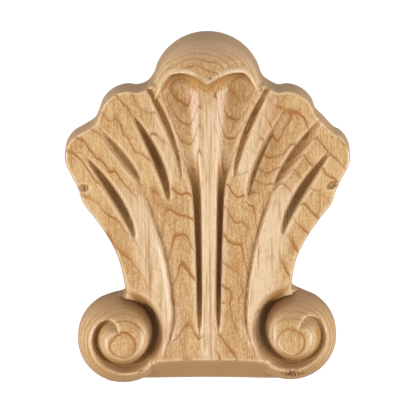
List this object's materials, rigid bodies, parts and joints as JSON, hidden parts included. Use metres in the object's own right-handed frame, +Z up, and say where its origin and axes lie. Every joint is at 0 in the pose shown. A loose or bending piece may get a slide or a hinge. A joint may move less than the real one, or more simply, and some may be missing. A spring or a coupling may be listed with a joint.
{
  "type": "carved shell applique",
  "caption": "Carved wooden shell applique with a domed hood, fluted fan, central rib and scrolled feet; its flat back is glued to furniture, panels or trim.",
  "frame": {"origin": "on the flat back, at the middle of the fan's width, halfway up", "axes": "+X to the viewer's right, +Z up towards the hood, +Y out of the flat back, so the carving faces -Y"},
  "size_m": [0.1016, 0.0238, 0.1278],
  "materials": {
    "maple": "unfinished pale maple, sanded, with visible growth rings"
  },
  "bodies": {
    "root": {"shell": "maple"}
  },
  "joints": []
}
